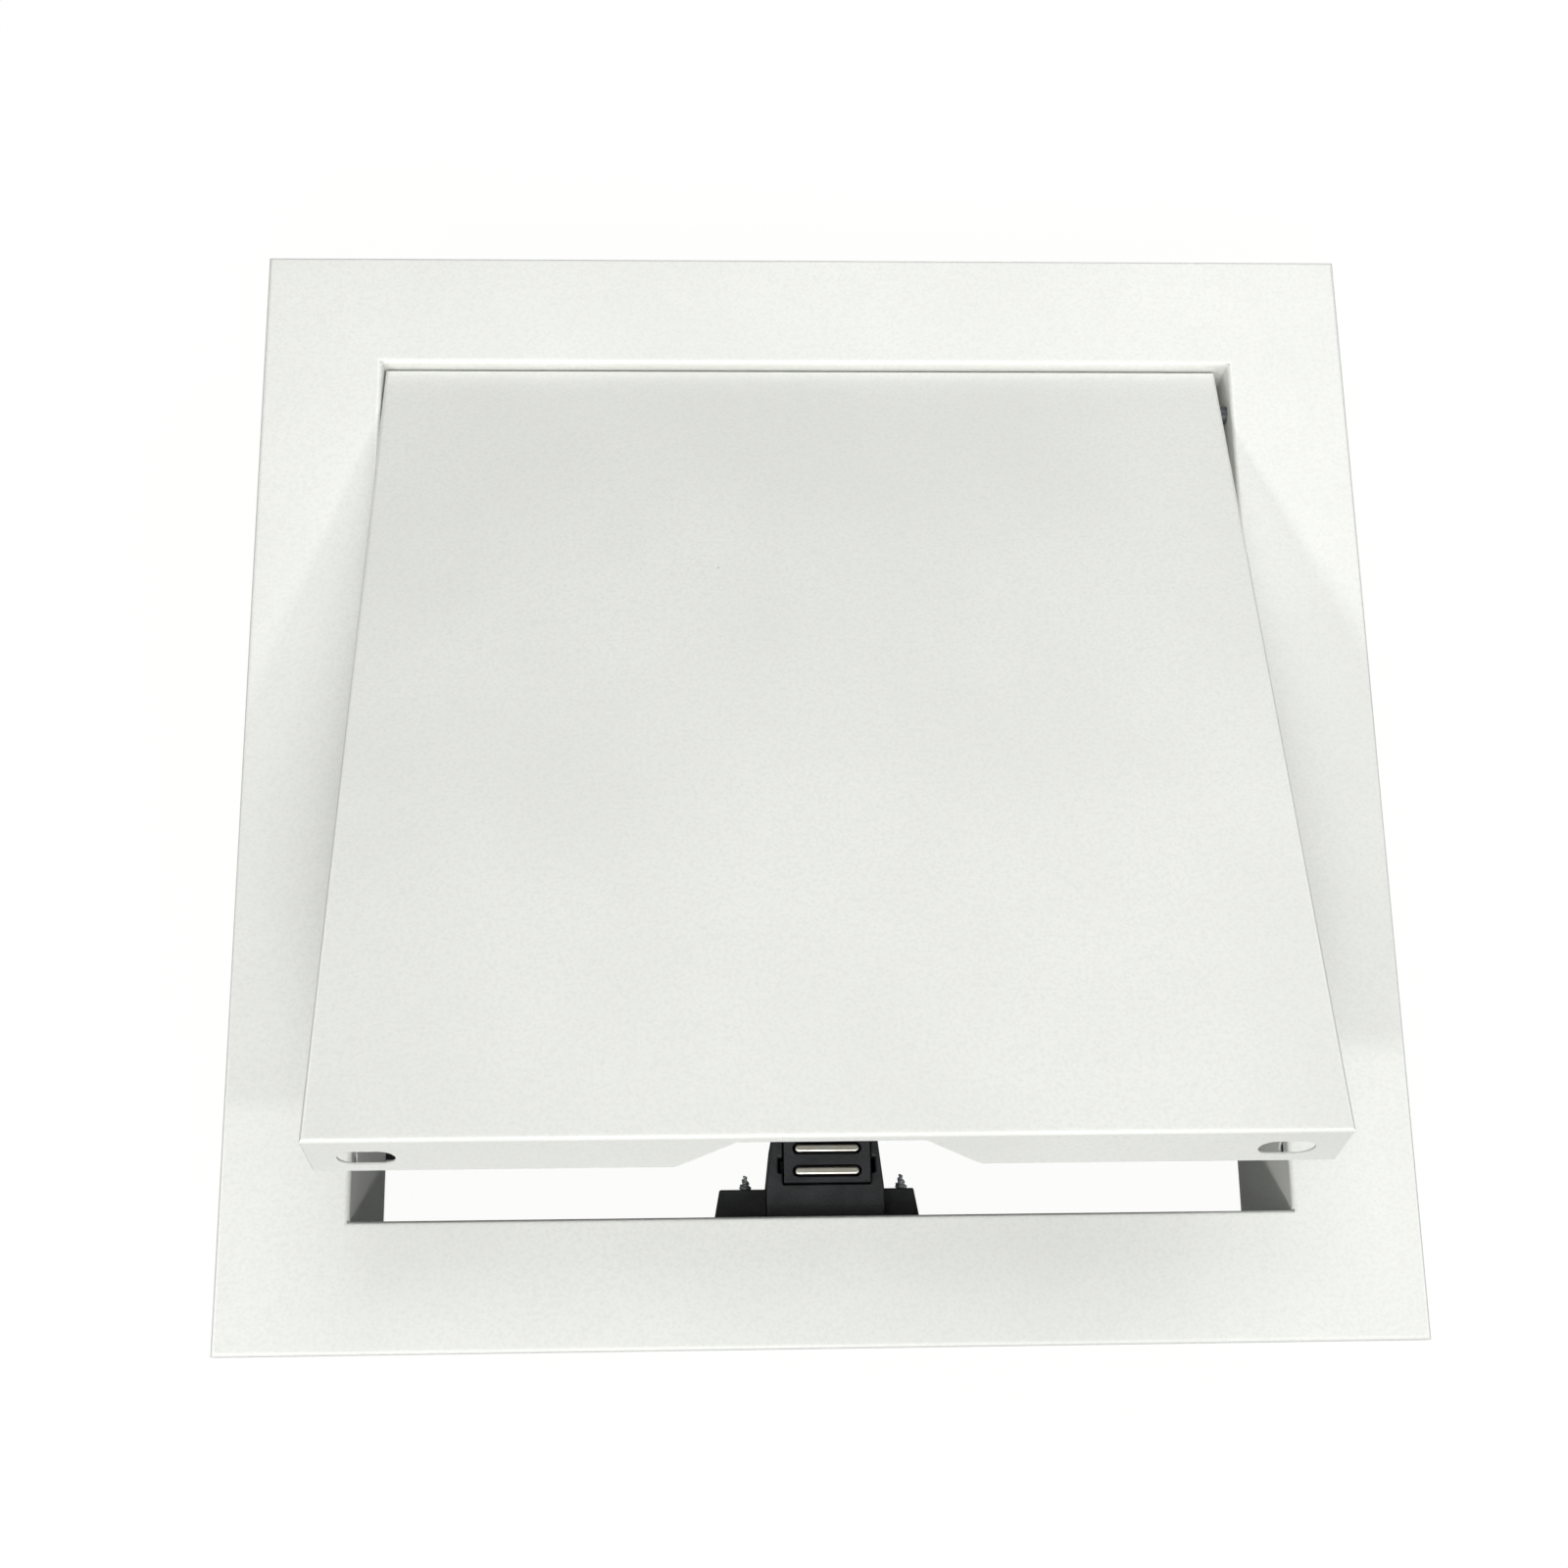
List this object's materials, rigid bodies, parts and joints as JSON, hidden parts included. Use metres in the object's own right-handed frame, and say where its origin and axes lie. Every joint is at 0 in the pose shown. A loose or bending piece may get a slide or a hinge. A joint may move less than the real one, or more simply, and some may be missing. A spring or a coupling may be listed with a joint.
{
  "type": "ceiling access panel",
  "caption": "Square white sheet-metal ceiling access panel: a folded frame round an opening, a hinged tray door and a black magnetic push latch.",
  "frame": {"origin": "centre of the opening, on the plane of the frame's rear rim, which the panel lies on", "axes": "+Z out of the room side of the panel, +Y towards the hinge, +X to the right when the latch is near"},
  "size_m": [0.255, 0.255, 0.0913],
  "materials": {
    "powder_coat": "fine satin powder coat",
    "zinc_steel": "bright zinc plating",
    "black_steel": "black oxide",
    "spring_steel": "drawn wire",
    "pole_steel": "bright nickel plating",
    "nylon": "natural moulded",
    "latch_plastic": "fine moulded satin",
    "ferrite": "matt sintered"
  },
  "bodies": {
    "frame": {"frame_rail_near": "powder_coat", "frame_rail_far": "powder_coat", "frame_rail_left": "powder_coat", "frame_rail_right": "powder_coat", "hinge_pin_left": "black_steel", "hinge_pin_right": "black_steel", "hinge_washer_left": "nylon", "hinge_washer_right": "nylon", "hinge_clip_left": "zinc_steel", "hinge_clip_right": "zinc_steel", "latch_housing": "latch_plastic", "latch_screws": "zinc_steel", "cam_pin": "spring_steel", "latch_spring": "spring_steel"},
    "door": {"door_panel": "powder_coat", "strike_plate": "zinc_steel"},
    "plunger": {"latch_plunger": "latch_plastic", "latch_magnet": "ferrite", "pole_plate_near": "pole_steel", "pole_plate_far": "pole_steel", "magnet_retainer": "latch_plastic"}
  },
  "joints": [
    {"name": "door_hinge", "type": "hinge", "parent": "frame", "child": "door", "pos_m": [0, 0.0895, 0.0346], "axis": [-1, 0, 0], "range_deg": [-16, 94]},
    {"name": "plunger_slide", "type": "slide", "parent": "frame", "child": "plunger", "axis": [0, 0, 1], "range_m": [-0.003, 0], "stiffness_N_per_m": 400, "springref_m": 0.0084, "deforming": ["latch_spring"]}
  ]
}
